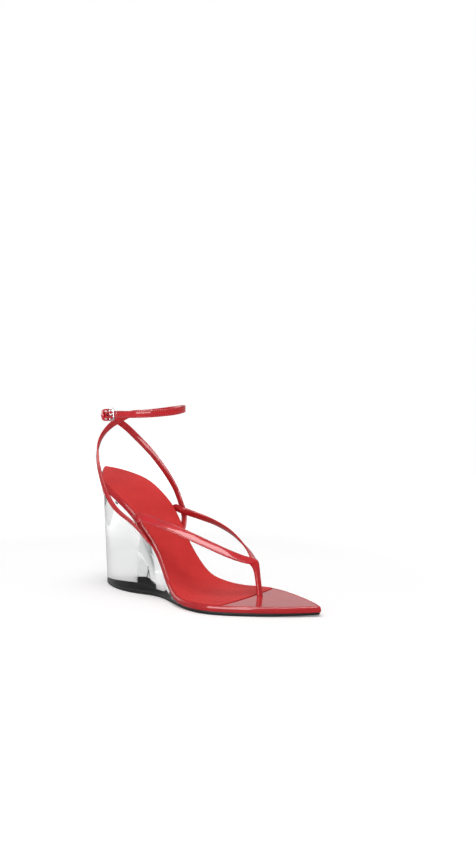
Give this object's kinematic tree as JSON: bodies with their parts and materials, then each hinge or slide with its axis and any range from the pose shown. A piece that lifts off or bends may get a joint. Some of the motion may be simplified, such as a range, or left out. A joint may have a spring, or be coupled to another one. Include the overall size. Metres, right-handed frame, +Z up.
{
  "type": "wedge sandal",
  "caption": "Pointed thong sandal on a high clear wedge, with a crossed heel sling and a buckled ankle strap; right foot.",
  "frame": {"origin": "on the floor plane, under the middle of the heel seat", "axes": "+X towards the toe, +Y towards the inner side of the foot, +Z up"},
  "size_m": [0.227, 0.0819, 0.1479],
  "materials": {
    "patent_red": "high gloss patent",
    "lining_red": "matt",
    "sock_red": "soft matt",
    "black_sole": "satin",
    "clear_acrylic": "polished clear",
    "steel": "plain",
    "brass": "plain",
    "fibre_board": "matt",
    "cork": "matt",
    "foam": "matt",
    "cord": "matt",
    "plastic": "matt",
    "buckle_metal": "polished"
  },
  "bodies": {
    "sandal": {"outsole": "black_sole", "wedge": "clear_acrylic", "heel_screws": "steel", "insole_board": "fibre_board", "shank": "steel", "shank_rivets": "brass", "bottom_filler": "cork", "foam_pad": "foam", "insole_cover": "patent_red", "sock_lining": "sock_red", "thong_strap_outer": "patent_red", "thong_lining_outer": "lining_red", "thong_strap_inner": "patent_red", "thong_lining_inner": "lining_red", "toe_post": "patent_red", "post_core": "cord", "post_anchor": "plastic", "ankle_strap": "patent_red", "ankle_strap_lining": "lining_red", "buckle_strap": "patent_red", "buckle_strap_lining": "lining_red", "bar_fold": "patent_red"},
    "buckle": {"buckle_frame": "buckle_metal", "buckle_bar": "buckle_metal"},
    "prong": {"buckle_prong": "buckle_metal"},
    "keeper": {"keeper_loop": "patent_red"}
  },
  "joints": [
    {"name": "buckle_tilt", "type": "hinge", "parent": "sandal", "child": "buckle", "pos_m": [0.0132, -0.0292, 0.1406], "axis": [0.0656, -0.0239, -0.9976], "range_deg": [0, 12]},
    {"name": "prong_swing", "type": "hinge", "parent": "buckle", "child": "prong", "pos_m": [0.0132, -0.0292, 0.1406], "axis": [0.0656, -0.0239, -0.9976], "range_deg": [0, 30]},
    {"name": "keeper_slide", "type": "slide", "parent": "sandal", "child": "keeper", "axis": [-0.9374, 0.3412, -0.0698], "range_m": [0, 0.0028]}
  ]
}
